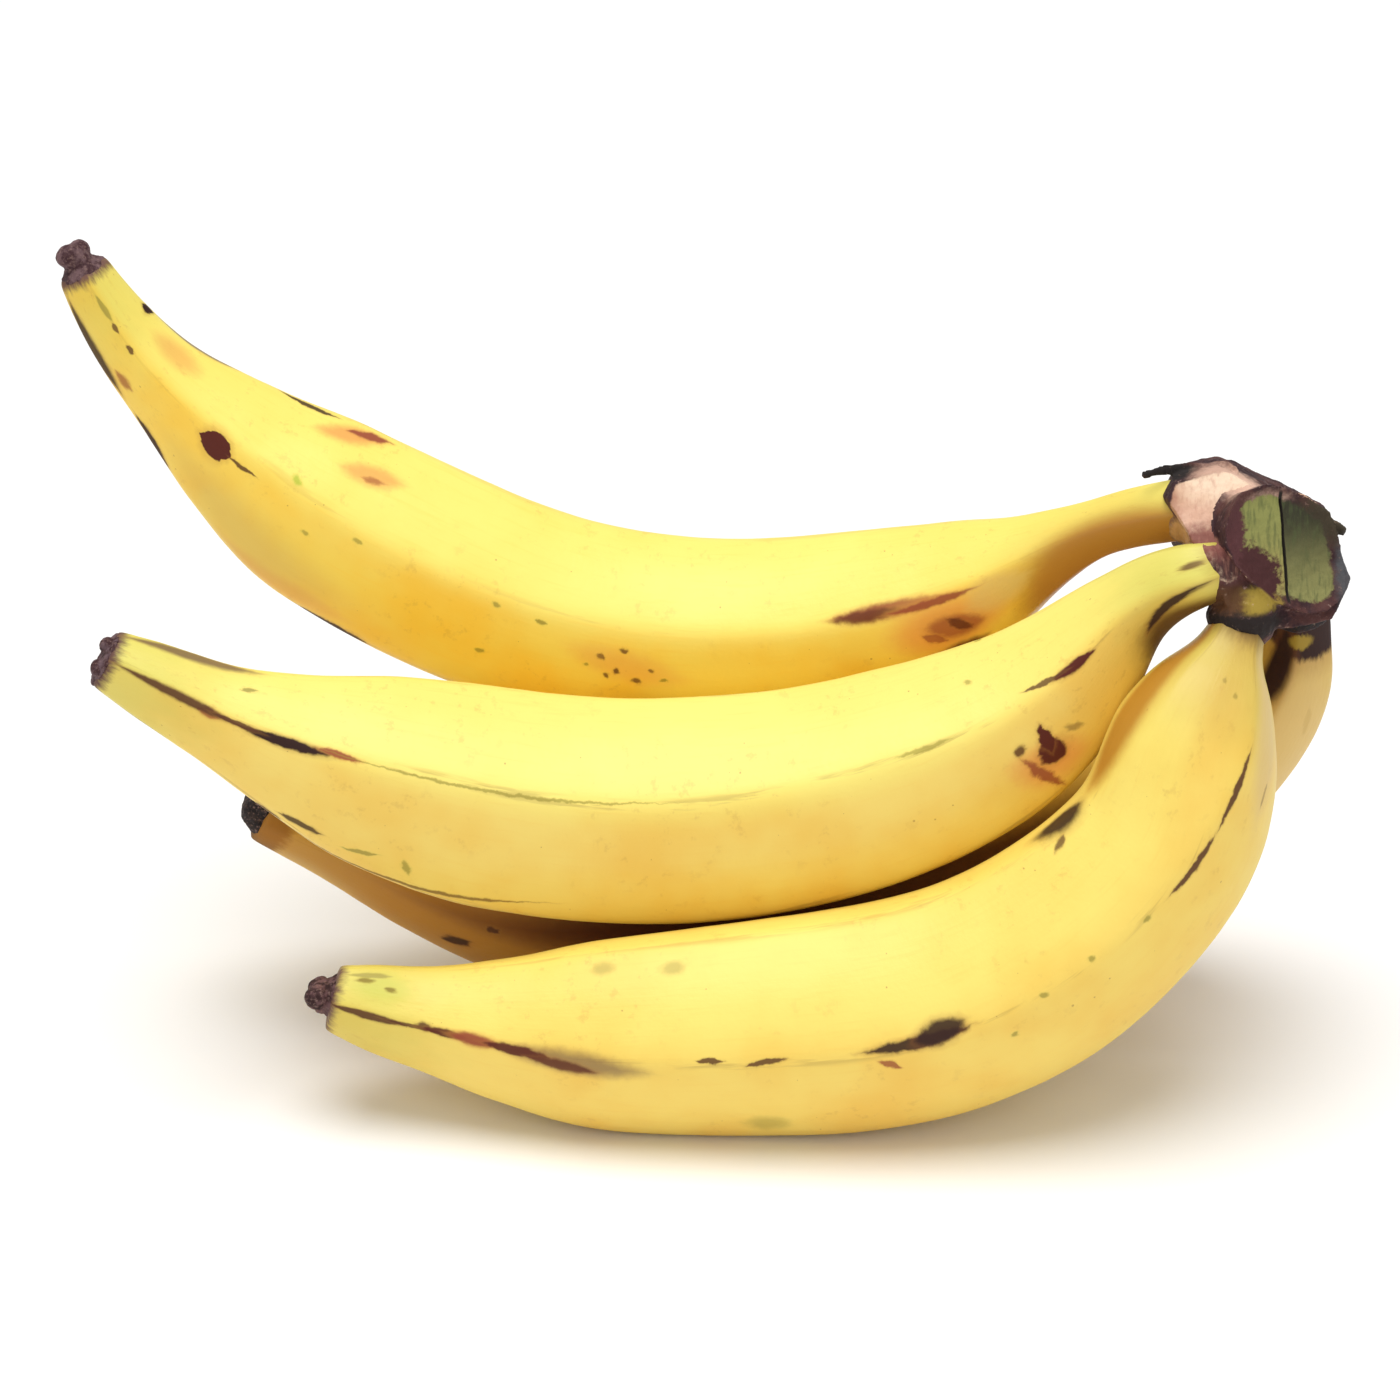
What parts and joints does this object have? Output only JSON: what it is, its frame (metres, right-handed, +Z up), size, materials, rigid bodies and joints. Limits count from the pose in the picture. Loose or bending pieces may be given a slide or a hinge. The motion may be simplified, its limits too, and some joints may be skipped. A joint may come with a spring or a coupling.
{
  "type": "hand of plantains",
  "caption": "Hand of ripe plantain-type bananas lying on a surface: curved five-ridged fingers fanned out from one cut crown.",
  "frame": {"origin": "centre of the hand's footprint, on the surface it lies on", "axes": "+Z up; +X along the fingers, from the blossom ends to the crown; -Y towards the camera of the picture"},
  "size_m": [0.2826, 0.124, 0.1751],
  "materials": {
    "crown": "dry cut stalk, purple-brown rim, green and pale fibrous faces",
    "peel_top": "smooth waxy yellow peel with dark ripening marks",
    "peel_middle": "smooth waxy yellow peel with dark ripening marks",
    "peel_front": "smooth waxy yellow peel with dark ripening marks",
    "peel_back": "smooth waxy yellow-brown peel",
    "blossom_end": "dry matt dark brown"
  },
  "bodies": {
    "root": {"crown": "crown", "finger_top": "peel_top", "finger_middle": "peel_middle", "finger_front": "peel_front", "finger_back": "peel_back", "blossom_end_top": "blossom_end", "blossom_end_middle": "blossom_end", "blossom_end_front": "blossom_end", "blossom_end_back": "blossom_end"}
  },
  "joints": []
}
